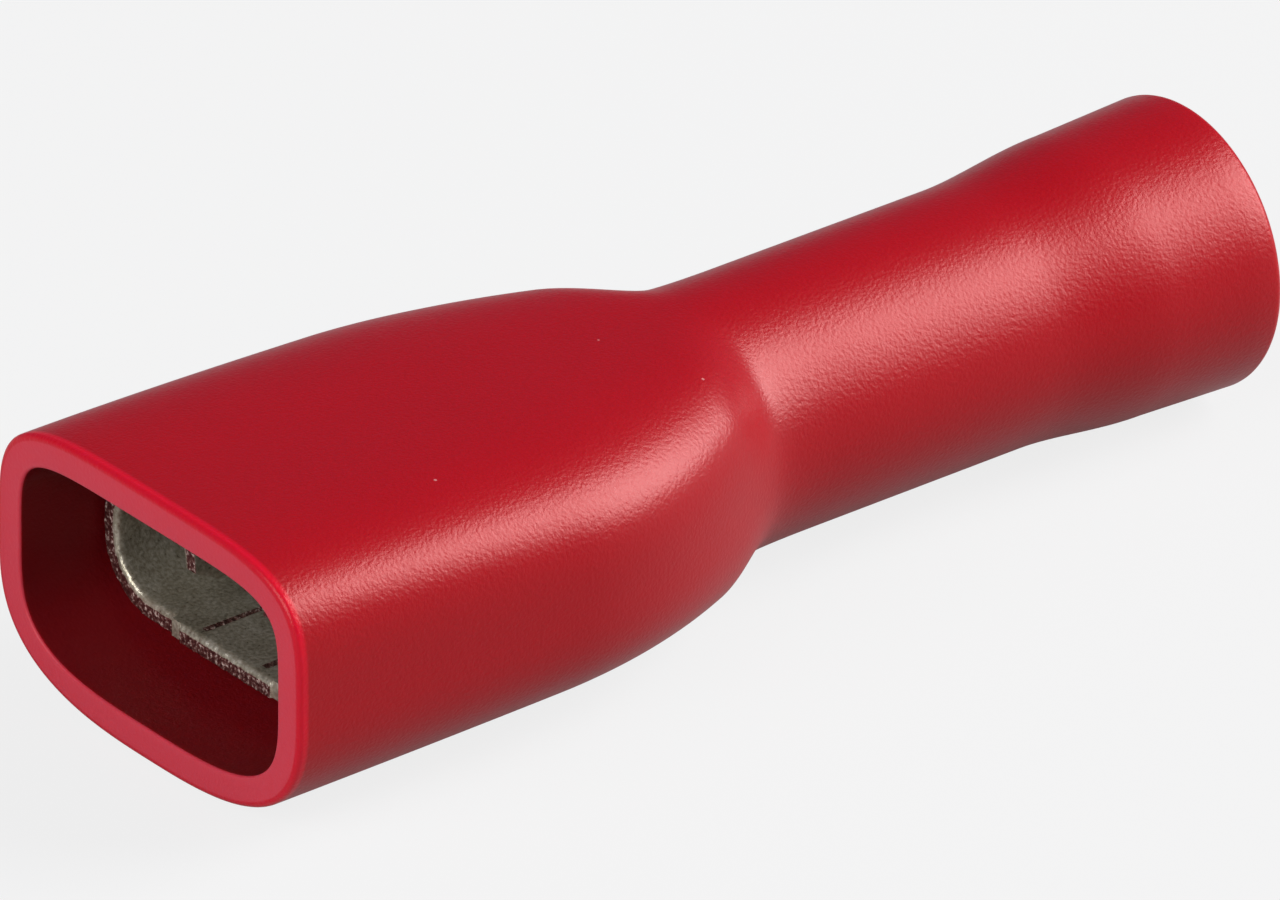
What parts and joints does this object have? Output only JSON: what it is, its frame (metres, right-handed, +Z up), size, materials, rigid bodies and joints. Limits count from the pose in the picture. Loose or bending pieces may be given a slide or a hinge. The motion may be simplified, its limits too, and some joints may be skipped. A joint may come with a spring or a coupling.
{
  "type": "insulated female spade terminal",
  "caption": "Fully insulated female spade terminal: a rolled receptacle for a flat tab and a crimp barrel for a wire, in a moulded sleeve.",
  "frame": {"origin": "centre of the terminal's length and width, on the plane that it lies on", "axes": "+X along the wire's axis, from the tab mouth to the wire end; +Y across the flat of the tab; +Z up, away from the receptacle's floor"},
  "size_m": [0.0234, 0.0088, 0.0055],
  "materials": {
    "sleeve_pvc": "moulded soft PVC, satin with a fine orange-peel grain",
    "tinned_brass": "dull tin plate with bare sheared edges"
  },
  "bodies": {
    "root": {"insulation_sleeve": "sleeve_pvc", "receptacle": "tinned_brass"}
  },
  "joints": []
}
